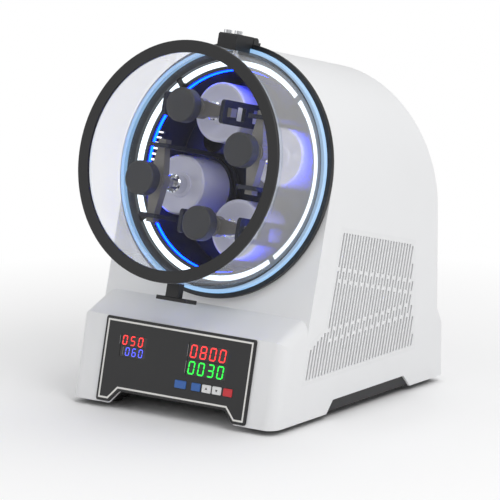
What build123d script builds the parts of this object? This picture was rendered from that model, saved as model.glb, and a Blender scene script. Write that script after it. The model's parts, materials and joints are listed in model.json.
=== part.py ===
from build123d import *
import math
import os

# Planetary ball mill with four jar stations under a clear hood.
# Millimetres, +Z up, the front faces -Y, the origin is on the floor in the middle of the footprint.
# "Reach" is a distance along the leaning head axis: 0 at the hood seat, positive towards the user.

# Stance of the head
lean = 15.9
wall = 3.0
fit_gap = 0.3
running_fit = 0.03

# Jar stations
jar_radius = 35.0
jar_length = 45.0
jar_wall = 6.0
jar_foot_chamfer = 2.5
jar_bore_chamfer = 4.0
lid_height = 13.0
lid_plug = 4.0
lid_floor_drop = 1.6
lid_rim = 4.0
lid_dish = 3.2
seat_reach = -62.0
seat_thickness = 6.0
seat_inset = 1.5
seat_lip = 6.0
seat_lip_width = 3.2
stirrup_thickness = 5.0
stirrup_width = 28.0
stirrup_frame = 6.0
stirrup_corner = 5.0
stirrup_above_beam = 8.5
upper_window = (7.0, 23.0)
lower_window = (-43.0, -9.0)
beam_above_lid = 46.5
beam_thickness = 11.0
beam_end_width = 10.0
beam_middle_width = 18.0
beam_boss_radius = 12.0
beam_boss_height = 2.0
beam_overhang = 5.0
screw_radius = 6.0
screw_socket = 9.0
collar_width = 2.0
collar_height = 8.0
pad_radius = 11.0
pad_height = 16.0
knob_radius = 20.0
knob_thickness = 17.0
knob_above_beam = 17.5
clamp_travel = 8.0
station_clearance = 7.6
head_turn = 20.4

stirrup_inner = jar_radius + fit_gap + seat_lip_width
stirrup_outer = stirrup_inner + stirrup_thickness
stirrup_sweep = math.hypot(stirrup_outer, stirrup_width / 2)
station_radius = (2 * stirrup_sweep + station_clearance) / math.sqrt(2)
seat_radius = stirrup_outer - seat_inset
seat_back = seat_reach - seat_thickness
jar_bore = jar_radius - jar_wall
jar_mouth_reach = seat_reach + jar_length
lid_reach = jar_mouth_reach + lid_height
beam_reach = lid_reach + beam_above_lid
beam_back = beam_reach - beam_thickness
stirrup_reach = beam_reach + stirrup_above_beam
knob_back = beam_reach + knob_above_beam
knob_reach = knob_back + knob_thickness

# Head and planetary gears
sun_teeth = 35
planet_teeth = 35
pressure_angle = 20.0
backlash = 0.24
gear_width = 8.0
gear_clearance = 2.0
sun_bore_gap = 3.0
sun_screw_radius = 1.6
pinion_flange_radius = 20.0
pinion_flange_thickness = 2.7
shaft_shoulder = 1.8
shaft_shoulder_gap = 0.2
carrier_clearance = 2.0
carrier_thickness = 10.0
carrier_hole_radius = 15.0
carrier_hole_rim = 19.0
planet_shaft_radius = 7.5
planet_bearing_radius = 16.0
planet_bearing_width = 9.0
shaft_radius = 10.0
shaft_nut_height = 5.0
shaft_bearing_radius = 21.0
shaft_bearing_width = 12.0

gear_module = 2 * station_radius / (sun_teeth + planet_teeth)
carrier_reach = seat_back - pinion_flange_thickness - fit_gap
carrier_back = carrier_reach - carrier_thickness
bearing_back = carrier_reach - planet_bearing_width
gear_reach = carrier_back - gear_clearance - gear_width

# Chamber, light ring and bezel, each a clearance wider than what lies inside it
chamber_clearance = 2.303
chamber_wall = 2.5
chamber_back_gap = 7.0
chamber_flange_width = 13.0
chamber_vent_count = 6
chamber_vent_pitch = 3.2
chamber_vent_size = (14.0, 2.4)
light_gap = 7.0
light_depth = 4.6
light_width = 6.0
light_edge = 1.4
light_clearance = 1.3
clip_angles = (48.0, 132.0, 213.0, 312.0)
clip_width = 7.0
clip_rise = 1.0
face_reach = -6.0
bezel_reach = 3.0
bezel_round = 5.0
bezel_step_reach = -4.0
bezel_rim = 5.5
bezel_overhang = 2.5

chamber_radius = station_radius + stirrup_sweep + chamber_clearance
chamber_outer = chamber_radius + chamber_wall
chamber_back_reach = gear_reach - chamber_back_gap
chamber_rear = chamber_back_reach - chamber_wall
carrier_radius = chamber_radius - carrier_clearance
carrier_hole_circle = carrier_radius - carrier_hole_radius - carrier_hole_rim
light_radius = chamber_radius + light_gap
bezel_step_radius = light_radius + light_width / 2 + light_clearance

# Hood
hood_margin = 8.7
hood_wall = 4.0
hood_seat_gap = 0.4
hood_flange_width = 5.0
hood_flange_thickness = 6.0
window_clearance = 4.0
ring_overhang = 2.0
ring_width = 14.2
ring_thickness = 6.0
ring_edge = 0.8
hinge_lift = 2.5
hinge_knuckle_radius = 5.0
hinge_pin_radius = 2.2
hinge_width = 26.0
hinge_tongue_width = 13.0
hinge_tongue_thickness = 8.0
hinge_pocket_drop = 6.0
hinge_arm_reach = 40.0
hinge_arm_gap = 1.5
hinge_arm_clearance = 0.9
hinge_arm_bevel = 2.0
hinge_bolt_inset = 10.0
hinge_bolt_spacing = 15.0
hinge_bolt_radius = 2.9
hinge_bolt_head = (4.8, 4.0)
hinge_bolt_socket = (2.6, 2.5)
hinge_nut = (5.2, 4.4)
hinge_nut_gap = 0.6
handle_reach = 62.0
handle_post = (17.0, 10.0, 16.0)
handle_bar = (42.0, 22.0, 4.7)
handle_bar_shift = 6.0

hood_radius = bezel_step_radius + hood_margin
hood_inner = hood_radius - hood_wall
hood_seat_reach = bezel_reach + hood_seat_gap
hood_flange_radius = hood_radius + hood_flange_width
flange_front = hood_seat_reach + hood_flange_thickness
window_back = knob_reach + clamp_travel + window_clearance
hood_front = window_back + hood_wall
ring_radius = hood_radius + ring_overhang
ring_reach = hood_front + ring_thickness
bezel_radius = hood_flange_radius + bezel_rim
hinge_rise = bezel_radius + hinge_lift
hinge_pocket_rise = hinge_rise - hinge_pocket_drop
hinge_bolt_reach = hinge_arm_reach - hinge_bolt_inset

# Drive
boss_length = 27.5
boss_radius = 34.0
boss_ring = 14.0
nose_radius = 20.0
frame_thickness = 8.0
frame_width = 104.0
frame_rib_inset = 4.0
frame_rib_thickness = 6.0
frame_rib_height = 60.0
frame_rib_run = 34.0
frame_foot = (40.0, 6.0)
pulley_gap = 5.0
pulley_width = 15.0
pulley_rim = 1.5
pulley_hub = 8.0
pulley_web_sink = 4.5
pulley_hole_count = 5
pulley_hole_radius = 7.0
driven_pulley_radius = 48.0
motor_pulley_radius = 16.0
belt_thickness = 3.0
belt_width = 12.0
belt_sink = 0.4
motor_radius = 42.0
motor_length = 86.0
motor_cap = 12.0
motor_skin = 2.0
motor_gap = 9.5
motor_shaft_radius = 7.0
motor_shaft_length = 18.0

frame_reach = chamber_rear - boss_length
frame_back = frame_reach - frame_thickness
pulley_reach = frame_back - pulley_gap
pulley_back = pulley_reach - pulley_width
pulley_distance = chamber_outer + motor_radius + motor_gap

# Control panel
panel_width = 214.0
panel_height = 98.9
panel_foot = 1.6
panel_thickness = 2.5
panel_corner = 3.0
panel_edge = 0.6
panel_notch_side = 18.5
panel_notch_slant = 12.5
panel_notch_height = 13.5
board_side = 13.0
board_height = 68.0
board_lap = 1.0
board_pillar_inset = 6.0
board_pillar_radius = 3.0
board_depth = 8.0
board_thickness = 1.6
board_centre = 55.0
key_row = 34.0
key_height = 9.2
key_gap = 0.25
key_flange = 1.0
key_flange_thickness = 1.2
key_seat_gap = 0.05
key_proud = 0.9
key_travel = 0.8
key_switch = 6.0
key_insets = {
    "key_menu": (97.1, 16.0),
    "key_back": (74.9, 12.6),
    "key_up": (59.8, 12.6),
    "key_down": (45.2, 12.6),
    "key_start": (29.6, 12.6),
}
small_display = (36.0, 12.4)
small_display_inset = 43.0
small_display_rows = (73.6, 60.4)
large_display = (56.0, 18.0)
large_display_inset = 64.2
large_display_rows = (74.2, 55.1)
display_gap = 0.2
display_inset = 0.5

# Housing
skirt_height = 7.0
fascia_lean = 13.8
fascia_margin = 0.5
shelf_depth = 47.77
shelf_rise = 18.036
face_foot_gap = 7.4
rear_run_upper = 219.5
rear_step_run = 8.8
rear_step_low = 71.0
rear_step_rise = 18.5
front_corner_radius = 15.0
skirt_notch_front = 8.5
skirt_notch_rear = 164.5
skirt_notch_slant = 14.0
skirt_notch_height = 21.5

# Side vents
vent_pitch = 5.76
vent_slot_width = 2.9
vent_first_reach = -17.3
vent_short_slots = 5
vent_slot_count = 36
vent_top_rise = -49.5
vent_floor_height = 55.0
vent_rear_run = 168.8
vent_step_height = 89.3
vent_step_slope = 3.55
vent_bridge = 4.4
vent_upper_bridges = (-105.0, -91.5)
vent_lower_bridges = (93.1, 105.3)
vent_margin = 6.0
shortest_slot = 5.0

# Base and rear
foot_radius = 14.0
foot_sole_inset = 1.5
foot_height = 8.0
base_thickness = 3.0
base_rim_height = 20.0
tray_notch_depth = 50.0
rear_panel_width = 190.0
rear_panel_height = 196.0
rear_panel_centre = 200.0
rear_panel_corner = 16.0
rear_window_corner = 12.0
rear_panel_thickness = 2.0
rear_panel_lap = 12.0
rear_slot_count = 9
rear_slot = (4.0, 60.0)
rear_slot_pitch = 14.0
inlet_size = (50.0, 28.0)
inlet_corner = 3.0
inlet_height = 42.0
inlet_proud = 2.0
inlet_lap = 3.0
inlet_depth = 26.0
inlet_socket = (24.0, 16.0, 18.0)
inlet_pin = (2.0, 5.0)
inlet_pin_spacing = 7.0
inlet_pin_shift = 2.0

sin_lean = math.sin(math.radians(lean))
cos_lean = math.cos(math.radians(lean))
sin_slope = math.sin(math.radians(fascia_lean))
cos_slope = math.cos(math.radians(fascia_lean))
half_width = bezel_radius - bezel_overhang
housing_width = 2 * half_width
base_top = foot_height + base_thickness

# The head stands over the shelf, and the shelf over the fascia that carries the control panel.
fascia_length = panel_foot + panel_height + fascia_margin
face_foot_drop = bezel_radius + face_foot_gap
brow_z = skirt_height + fascia_length * cos_slope
head_height = brow_z + shelf_rise - face_reach * sin_lean + face_foot_drop * cos_lean

# The footprint runs from the lowest point of the hood ring to the inlet at the rear.
rear_run_lower = rear_run_upper + rear_step_run
front_run = ring_reach * cos_lean + ring_radius * sin_lean
head_y = (front_run - rear_run_lower - inlet_proud) / 2
rear_y = head_y + rear_run_upper
rear_low_y = head_y + rear_run_lower


def save(piece, name):
    """Label one finished piece and write it as its own file."""
    piece.label = name
    export_step(piece, f"parts/{name}.step")


def head_plane(reach):
    """Plane square to the leaning axis, with its Y up the leaning face."""
    origin = (0, head_y - reach * cos_lean, head_height + reach * sin_lean)
    return Plane(origin=origin, x_dir=(1, 0, 0), z_dir=(0, -cos_lean, sin_lean))


def fascia_plane(depth):
    """Plane along the control fascia, Y up its slope, at this depth in front of the fascia."""
    y = chin_y + panel_foot * sin_slope - depth * cos_slope
    z = skirt_height + panel_foot * cos_slope + depth * sin_slope
    return Plane(origin=(0, y, z), x_dir=(1, 0, 0), z_dir=(0, -cos_slope, sin_slope))


def side_point(reach, rise):
    """World Y and Z of a point at this reach and this rise above the head axis."""
    y = head_y - reach * cos_lean + rise * sin_lean
    z = head_height + reach * sin_lean + rise * cos_lean
    return y, z


def rise_at_height(reach, height):
    """Rise above the head axis, at this reach, of a point at this height above the floor."""
    return (height - head_height - reach * sin_lean) / cos_lean


def station_plane(index, reach):
    """Plane on one jar axis, with its X along that station's clamp beam."""
    angle = math.radians(head_turn + 90 * index)
    place = (station_radius * math.cos(angle), station_radius * math.sin(angle), 0)
    disc = head_plane(reach)
    beam = math.radians(90 * index + 90)
    along = disc.x_dir * math.cos(beam) + disc.y_dir * math.sin(beam)
    return Plane(origin=disc.from_local_coords(place), x_dir=along, z_dir=disc.z_dir)


def involute(angle):
    """Involute function of an angle in radians."""
    return math.tan(angle) - angle


def gear_outline(teeth, turn):
    """Closed outline of a spur gear with a tooth centred at the angle turn, in degrees."""
    pitch_radius = gear_module * teeth / 2
    base_radius = pitch_radius * math.cos(math.radians(pressure_angle))
    half_tooth = (math.pi / 2 - backlash / gear_module) / teeth + involute(math.radians(pressure_angle))
    root_radius = pitch_radius - 1.25 * gear_module
    waist_radius = pitch_radius - 0.3 * gear_module
    radii = (root_radius, waist_radius, pitch_radius + gear_module)
    flank = []
    for radius in radii:
        roll = math.acos(min(1.0, base_radius / radius))
        flank.append((radius, half_tooth - involute(roll)))
    points = []
    for tooth in range(teeth):
        centre = math.radians(turn) + 2 * math.pi * tooth / teeth
        for radius, half in flank:
            points.append((radius * math.cos(centre - half), radius * math.sin(centre - half)))
        for radius, half in reversed(flank):
            points.append((radius * math.cos(centre + half), radius * math.sin(centre + half)))
    return points


def mesh_turn(index):
    """Turn of a planet gear, from the head's X, at which its gap takes the sun tooth that faces it."""
    station = head_turn + 90 * index
    past_tooth = station % (360 / sun_teeth)
    gap = station + 180 + past_tooth * sun_teeth / planet_teeth
    return gap - 180 / planet_teeth


os.makedirs("parts", exist_ok=True)


# Housing: the leaning arch, the shelf and the fascia in one outline seen from the side

foot_y, foot_z = side_point(face_reach, -face_foot_drop)
crown_y, crown_z = side_point(face_reach, half_width + wall)
brow_y = foot_y - shelf_depth
chin_y = brow_y - fascia_length * sin_slope
rear_crown_z = crown_z - (rear_y - crown_y) * math.tan(math.radians(lean))
side_outline = [
    (chin_y, skirt_height),
    (brow_y, brow_z),
    (foot_y, foot_z),
    (crown_y, crown_z),
    (rear_y, rear_crown_z),
    (rear_y, rear_step_low + rear_step_rise),
    (rear_low_y, rear_step_low),
    (rear_low_y, skirt_height),
]


def housing_form(inset):
    """Solid form of the housing, or of its hollow when inset is the wall."""
    side = half_width - inset
    with BuildPart() as form:
        with BuildSketch(Plane.YZ):
            with BuildLine():
                Polyline(*side_outline, close=True)
            make_face()
            if inset:
                offset(amount=-inset, kind=Kind.INTERSECTION, mode=Mode.REPLACE)
        extrude(amount=side, both=True)
        with BuildSketch(head_plane(0)):
            Circle(side)
            Rectangle(2 * side, 2 * head_height, align=(Align.CENTER, Align.MAX))
        extrude(amount=rear_run_lower + front_run, both=True, mode=Mode.INTERSECT)
        upright = form.edges().filter_by(
            lambda edge: abs(abs(edge.center().X) - side) < 0.01
            and edge.center().Y < foot_y + inset
            and edge.center().Z < foot_z + inset
            and abs(edge.tangent_at(0.5).Z) > 0.2
        )
        fillet(upright, radius=front_corner_radius - inset)
        if inset:
            extrude(form.faces().sort_by(Axis.Z)[0], amount=2 * inset)
    return form.part


# Side vents: slots that lean with the face, in one panel on each side


def slot_spans(number):
    """Lower and upper rise of each open stretch of one slot."""
    reach = vent_first_reach - number * vent_pitch
    floor = rise_at_height(reach, vent_floor_height)
    if number < vent_short_slots:
        return [(floor, rise_at_height(reach, vent_step_height + number * vent_step_slope))]
    rear_limit = (vent_rear_run + reach * cos_lean) / sin_lean
    top = min(vent_top_rise, rear_limit)
    odd = number % 2
    bridges = [rise_at_height(reach, vent_lower_bridges[odd]), vent_upper_bridges[odd]]
    spans = []
    start = floor
    for bridge in bridges:
        spans.append((start, min(bridge - vent_bridge / 2, top)))
        start = bridge + vent_bridge / 2
    spans.append((start, top))
    return [span for span in spans if span[1] - span[0] > shortest_slot]


def vent_outline(margin):
    """Outline of the slotted area, widened by a margin, as world Y and Z points."""
    front = vent_first_reach + vent_slot_width / 2 + margin
    main_front = vent_first_reach - vent_short_slots * vent_pitch + vent_slot_width / 2 + margin
    rear_y_line = head_y + vent_rear_run + margin
    floor = vent_floor_height - margin
    top_rise = vent_top_rise + margin
    top_rear_reach = -(vent_rear_run + margin - top_rise * sin_lean) / cos_lean
    step_foot = rise_at_height(front, vent_step_height + margin)
    step_top = vent_step_height + (vent_short_slots - 1) * vent_step_slope + margin
    return [
        side_point(front, rise_at_height(front, floor)),
        side_point(front, step_foot),
        side_point(main_front, rise_at_height(main_front, step_top)),
        side_point(main_front, top_rise),
        side_point(top_rear_reach, top_rise),
        (rear_y_line, floor),
    ]


for side_name, side_sign in (("left", -1), ("right", 1)):
    inner_face = Plane.YZ.offset(half_width - wall if side_sign > 0 else -half_width)
    with BuildPart() as vent_grille:
        with BuildSketch(inner_face):
            with BuildLine():
                Polyline(*vent_outline(vent_margin), close=True)
            make_face()
            for slot in range(vent_slot_count):
                for low, high in slot_spans(slot):
                    slot_reach = vent_first_reach - slot * vent_pitch
                    with Locations(side_point(slot_reach, (low + high) / 2)):
                        Rectangle(vent_slot_width, high - low, rotation=-lean, mode=Mode.SUBTRACT)
        extrude(amount=wall)
    save(vent_grille.part, f"vent_grille_{side_name}")


# Housing shell: one skin with the openings for chamber, display board, vents, rear cover and inlet

board_width = panel_width - 2 * board_side
notch_front = head_y + skirt_notch_front
notch_rear = head_y + skirt_notch_rear
panel_half = panel_width / 2
notch_half = panel_half - panel_notch_side
notch_half_top = notch_half - panel_notch_slant
notch_skirt = panel_foot + wall
notch_skirt_half = notch_half + notch_skirt * panel_notch_slant / panel_notch_height

with BuildPart() as housing_shell:
    add(housing_form(0))
    add(housing_form(wall), mode=Mode.SUBTRACT)
    with BuildSketch(head_plane(face_reach + 1)):
        Circle(chamber_outer + fit_gap)
    extrude(amount=-2 * wall, mode=Mode.SUBTRACT)
    with BuildSketch(fascia_plane(1)):
        with Locations((0, board_centre)):
            RectangleRounded(board_width - 2 * board_lap, board_height - 2 * board_lap, radius=4)
        with BuildLine():
            Polyline(
                (-notch_skirt_half, -notch_skirt),
                (-notch_half_top, panel_notch_height),
                (notch_half_top, panel_notch_height),
                (notch_skirt_half, -notch_skirt),
                close=True,
            )
        make_face()
    extrude(amount=-2 * wall, mode=Mode.SUBTRACT)
    with BuildSketch(Plane.YZ):
        with BuildLine():
            Polyline(*vent_outline(vent_margin), close=True)
        make_face()
    extrude(amount=housing_width, both=True, mode=Mode.SUBTRACT)
    with BuildSketch(Plane.YZ):
        with BuildLine():
            Polyline(
                (notch_front - skirt_notch_slant, skirt_height - 1),
                (notch_front, skirt_notch_height),
                (notch_rear - skirt_notch_slant, skirt_notch_height),
                (notch_rear, skirt_height - 1),
                close=True,
            )
        make_face()
    extrude(amount=housing_width, both=True, mode=Mode.SUBTRACT)
    with BuildSketch(Plane.XZ.offset(-rear_y - 1)):
        with Locations((0, rear_panel_centre)):
            RectangleRounded(
                rear_panel_width - 2 * rear_panel_lap,
                rear_panel_height - 2 * rear_panel_lap,
                radius=rear_window_corner,
            )
    extrude(amount=2 * wall, mode=Mode.SUBTRACT)
    with BuildSketch(Plane.XZ.offset(-rear_low_y - 1)):
        with Locations((0, inlet_height)):
            Rectangle(inlet_size[0] - 2 * inlet_lap, inlet_size[1] - 2 * inlet_lap)
    extrude(amount=2 * wall, mode=Mode.SUBTRACT)
save(housing_shell.part, "housing_shell")


# Rear cover with a field of slots

with BuildPart() as rear_cover:
    with BuildSketch(Plane.XZ.offset(-rear_y - rear_panel_thickness)):
        with Locations((0, rear_panel_centre)):
            RectangleRounded(rear_panel_width, rear_panel_height, radius=rear_panel_corner)
            with GridLocations(rear_slot_pitch, 2 * rear_slot[1] + rear_slot_pitch, rear_slot_count, 1):
                Rectangle(*rear_slot, mode=Mode.SUBTRACT)
    extrude(amount=rear_panel_thickness)
save(rear_cover.part, "rear_cover")


# Power inlet with its three contacts

with BuildPart() as power_inlet:
    with BuildSketch(Plane.XZ.offset(-rear_low_y - inlet_proud)):
        with Locations((0, inlet_height)):
            RectangleRounded(*inlet_size, radius=inlet_corner)
    extrude(amount=inlet_proud)
    with BuildSketch(Plane.XZ.offset(-rear_low_y)):
        with Locations((0, inlet_height)):
            Rectangle(inlet_size[0] - 2 * inlet_lap, inlet_size[1] - 2 * inlet_lap)
    extrude(amount=inlet_depth)
    with BuildSketch(Plane.XZ.offset(-rear_low_y - inlet_proud)):
        with Locations((0, inlet_height)):
            Rectangle(inlet_socket[0], inlet_socket[1])
            with Locations(
                (-inlet_pin_spacing, -inlet_pin_shift),
                (0, inlet_pin_shift),
                (inlet_pin_spacing, -inlet_pin_shift),
            ):
                Rectangle(*inlet_pin, mode=Mode.SUBTRACT)
    extrude(amount=inlet_socket[2], mode=Mode.SUBTRACT)
save(power_inlet.part, "power_inlet")


# Base tray and rubber feet

tray_front = chin_y + wall / cos_slope + base_thickness * sin_slope / cos_slope + 2 * fit_gap
tray_rear = rear_low_y - wall - fit_gap
tray_side = half_width - wall - fit_gap
tray_middle = (tray_front + tray_rear) / 2
foot_rows = tray_rear - tray_front - 5 * foot_radius

with BuildPart() as base_tray:
    with BuildSketch(Plane.XY.offset(foot_height)):
        with Locations((0, tray_middle)):
            RectangleRounded(2 * tray_side, tray_rear - tray_front, radius=front_corner_radius - wall)
        with Locations((0, tray_front)):
            Rectangle(2 * notch_half, 2 * tray_notch_depth, mode=Mode.SUBTRACT)
    extrude(amount=base_thickness)
    with BuildSketch(Plane.XY.offset(base_top)):
        for side_sign in (-1, 1):
            with Locations((side_sign * (tray_side - base_thickness / 2), (notch_front + notch_rear) / 2)):
                Rectangle(base_thickness, notch_rear - notch_front + skirt_notch_slant)
    extrude(amount=base_rim_height)
save(base_tray.part, "base_tray")

with BuildPart() as rubber_feet:
    with BuildSketch():
        with Locations((0, tray_middle)):
            with GridLocations(2 * (tray_side - 2 * foot_radius), foot_rows, 2, 2):
                Circle(foot_radius - foot_sole_inset)
    extrude(amount=foot_height, taper=-10)
save(rubber_feet.part, "rubber_feet")


# Control panel, display board and keys

fascia_out = Axis((0, 0, 0), fascia_plane(0).z_dir)
key_places = {name: (panel_half - inset, width) for name, (inset, width) in key_insets.items()}
small_display_places = [(small_display_inset - panel_half, row) for row in small_display_rows]
large_display_places = [(panel_half - large_display_inset, row) for row in large_display_rows]
pillar_spacing = (board_width - 2 * board_pillar_inset, board_height - 2 * board_pillar_inset)

with BuildPart() as control_panel:
    with BuildSketch(fascia_plane(0)) as panel_face:
        with BuildLine():
            Polyline(
                (-panel_half, 0),
                (-notch_half, 0),
                (-notch_half_top, panel_notch_height),
                (notch_half_top, panel_notch_height),
                (notch_half, 0),
                (panel_half, 0),
                (panel_half, panel_height),
                (-panel_half, panel_height),
                close=True,
            )
        make_face()
        fillet(panel_face.vertices(), radius=panel_corner)
    extrude(amount=panel_thickness)
    chamfer(control_panel.faces().sort_by(fascia_out)[-1].edges(), length=panel_edge)
    with BuildSketch(fascia_plane(0)):
        with Locations(*small_display_places):
            Rectangle(small_display[0] + 2 * display_gap, small_display[1] + 2 * display_gap)
        with Locations(*large_display_places):
            Rectangle(large_display[0] + 2 * display_gap, large_display[1] + 2 * display_gap)
        for key_place, key_width in key_places.values():
            with Locations((key_place, key_row)):
                RectangleRounded(key_width + 2 * key_gap, key_height + 2 * key_gap, radius=1.5)
    extrude(amount=panel_thickness, mode=Mode.SUBTRACT)
    with BuildSketch(fascia_plane(-board_depth)):
        with Locations((0, board_centre)):
            with GridLocations(*pillar_spacing, 2, 2):
                Circle(board_pillar_radius)
    extrude(amount=board_depth)
save(control_panel.part, "control_panel")

switch_top = key_flange_thickness + key_travel + fit_gap
with BuildPart() as display_board:
    with BuildSketch(fascia_plane(-board_depth - board_thickness)):
        with Locations((0, board_centre)):
            Rectangle(board_width, board_height)
    extrude(amount=board_thickness)
    with BuildSketch(fascia_plane(-board_depth)):
        with Locations(*small_display_places):
            Rectangle(*small_display)
        with Locations(*large_display_places):
            Rectangle(*large_display)
    extrude(amount=board_depth + panel_thickness - display_inset)
    with BuildSketch(fascia_plane(-board_depth)):
        for key_place, key_width in key_places.values():
            with Locations((key_place, key_row)):
                Rectangle(key_switch, key_switch)
    extrude(amount=board_depth - switch_top)
save(display_board.part, "display_board")

for key_name, (key_place, key_width) in key_places.items():
    with BuildPart() as key:
        with BuildSketch(fascia_plane(-key_flange_thickness - key_seat_gap)):
            with Locations((key_place, key_row)):
                Rectangle(key_width + 2 * key_flange, key_height + 2 * key_flange)
        extrude(amount=key_flange_thickness)
        with BuildSketch(fascia_plane(-key_seat_gap)):
            with Locations((key_place, key_row)):
                RectangleRounded(key_width, key_height, radius=1.2)
        extrude(amount=panel_thickness + key_proud + key_seat_gap)
        chamfer(key.faces().sort_by(fascia_out)[-1].edges(), length=0.4)
    save(key.part, key_name)


# Bezel, light ring and chamber, all turned about the head axis

head_axis = Axis(head_plane(0).origin, head_plane(0).z_dir)
light_back = bezel_step_reach + running_fit
light_front = light_back + light_depth
light_inner = light_radius - light_width / 2
light_outer = light_radius + light_width / 2
half_section = Plane(origin=head_plane(0).origin, x_dir=(1, 0, 0), z_dir=(0, -sin_lean, -cos_lean))
long_section = Plane(origin=head_plane(0).origin, x_dir=(0, -cos_lean, sin_lean), z_dir=(-1, 0, 0))

with BuildPart() as front_bezel:
    with BuildSketch(half_section) as bezel_section:
        with BuildLine():
            Polyline(
                (chamber_radius, face_reach),
                (bezel_radius, face_reach),
                (bezel_radius, bezel_reach),
                (bezel_step_radius, bezel_reach),
                (bezel_step_radius, bezel_step_reach),
                (chamber_radius, bezel_step_reach),
                close=True,
            )
        make_face()
        outer_corner = bezel_section.vertices().sort_by(Axis.X)[-2:].sort_by(head_axis)[-1]
        fillet(outer_corner, radius=bezel_round)
    revolve(axis=head_axis)
    with BuildSketch(head_plane(bezel_step_reach)):
        for clip_angle in clip_angles:
            turn = math.radians(clip_angle)
            clip_middle = (bezel_step_radius + light_inner - clip_rise) / 2
            clip_length = bezel_step_radius - light_inner + 3 * clip_rise
            with Locations((clip_middle * math.cos(turn), clip_middle * math.sin(turn))):
                Rectangle(clip_length, clip_width, rotation=clip_angle)
    extrude(amount=light_depth + clip_rise)
    with BuildSketch(head_plane(bezel_step_reach)):
        Circle(light_outer + running_fit)
        Circle(light_inner - running_fit, mode=Mode.SUBTRACT)
    extrude(amount=light_depth + 2 * running_fit, mode=Mode.SUBTRACT)
    with BuildSketch(long_section):
        with Locations((0, hinge_pocket_rise)):
            Rectangle(6 * bezel_reach, 20, align=(Align.CENTER, Align.MIN))
    extrude(amount=hinge_width / 2, both=True, mode=Mode.SUBTRACT)
save(front_bezel.part, "front_bezel")

with BuildPart() as light_ring:
    with BuildSketch(half_section):
        with BuildLine():
            Polyline(
                (light_inner, light_back),
                (light_outer, light_back),
                (light_outer, light_front - light_edge),
                (light_outer - light_edge, light_front),
                (light_inner + light_edge, light_front),
                (light_inner, light_front - light_edge),
                close=True,
            )
        make_face()
    revolve(axis=head_axis)
save(light_ring.part, "light_ring")

with BuildPart() as chamber_tub:
    with BuildSketch(head_plane(chamber_rear)):
        Circle(chamber_outer)
    extrude(amount=face_reach - chamber_back_reach + chamber_wall)
    with BuildSketch(head_plane(face_reach - wall - chamber_wall)):
        Circle(chamber_outer + chamber_flange_width)
    extrude(amount=chamber_wall)
    with BuildSketch(head_plane(chamber_back_reach)):
        Circle(chamber_radius)
    extrude(amount=-chamber_back_reach, mode=Mode.SUBTRACT)
    with BuildSketch(head_plane(chamber_rear)):
        Circle(nose_radius + fit_gap)
    extrude(amount=chamber_wall, mode=Mode.SUBTRACT)
    vent_middle = face_reach - wall - chamber_wall - 1 - chamber_vent_size[0] / 2
    for vent in range(chamber_vent_count):
        vent_turn = math.radians(180 - vent * chamber_vent_pitch)
        outward = head_plane(0).x_dir * math.cos(vent_turn) + head_plane(0).y_dir * math.sin(vent_turn)
        vent_origin = head_plane(vent_middle).origin + outward * (chamber_radius - 1)
        with BuildSketch(Plane(origin=vent_origin, x_dir=head_plane(0).z_dir, z_dir=outward)):
            Rectangle(*chamber_vent_size)
        extrude(amount=chamber_wall + 2, mode=Mode.SUBTRACT)
save(chamber_tub.part, "chamber_tub")


# Gears: a fixed sun on the drive frame, and a planet pinion under each jar

gear_front = gear_reach + gear_width
sun_bore = shaft_radius + sun_bore_gap
with BuildPart() as sun_gear:
    with BuildSketch(head_plane(gear_reach)):
        with BuildLine():
            Polyline(*gear_outline(sun_teeth, 0), close=True)
        make_face()
        Circle(sun_bore, mode=Mode.SUBTRACT)
        with PolarLocations((nose_radius + sun_bore) / 2, 3):
            Circle(sun_screw_radius, mode=Mode.SUBTRACT)
    extrude(amount=gear_width)
save(sun_gear.part, "sun_gear")

shoulder_front = bearing_back - shaft_shoulder_gap
for index in range(4):
    gear_plane = Plane(
        origin=station_plane(index, gear_reach).origin,
        x_dir=(1, 0, 0),
        z_dir=head_plane(0).z_dir,
    )
    with BuildPart() as planet_pinion:
        with BuildSketch(gear_plane):
            with BuildLine():
                Polyline(*gear_outline(planet_teeth, mesh_turn(index)), close=True)
            make_face()
        extrude(amount=gear_width)
        with BuildSketch(station_plane(index, gear_front)):
            Circle(planet_shaft_radius + shaft_shoulder)
        extrude(amount=shoulder_front - gear_front)
        with BuildSketch(station_plane(index, gear_front)):
            Circle(planet_shaft_radius - running_fit)
        extrude(amount=seat_back - gear_front)
        with BuildSketch(station_plane(index, carrier_reach + fit_gap)):
            Circle(pinion_flange_radius)
        extrude(amount=pinion_flange_thickness)
    save(planet_pinion.part, f"planet_pinion_{index + 1}")


# Carrier disc with its shaft, driven pulley and planet bearings

with BuildPart() as carrier_disc:
    with BuildSketch(head_plane(carrier_back)):
        Circle(carrier_radius)
        Circle(shaft_radius, mode=Mode.SUBTRACT)
        with PolarLocations(station_radius, 4, start_angle=head_turn):
            Circle(planet_shaft_radius + shaft_shoulder + 0.7, mode=Mode.SUBTRACT)
        with PolarLocations(carrier_hole_circle, 4, start_angle=head_turn + 45):
            Circle(carrier_hole_radius, mode=Mode.SUBTRACT)
    extrude(amount=carrier_thickness)
    with BuildSketch(head_plane(bearing_back)):
        with PolarLocations(station_radius, 4, start_angle=head_turn):
            Circle(planet_bearing_radius)
    extrude(amount=planet_bearing_width, mode=Mode.SUBTRACT)
    chamfer(carrier_disc.faces().sort_by(head_axis)[-1].outer_wire().edges(), length=1)
save(carrier_disc.part, "carrier_disc")


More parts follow.
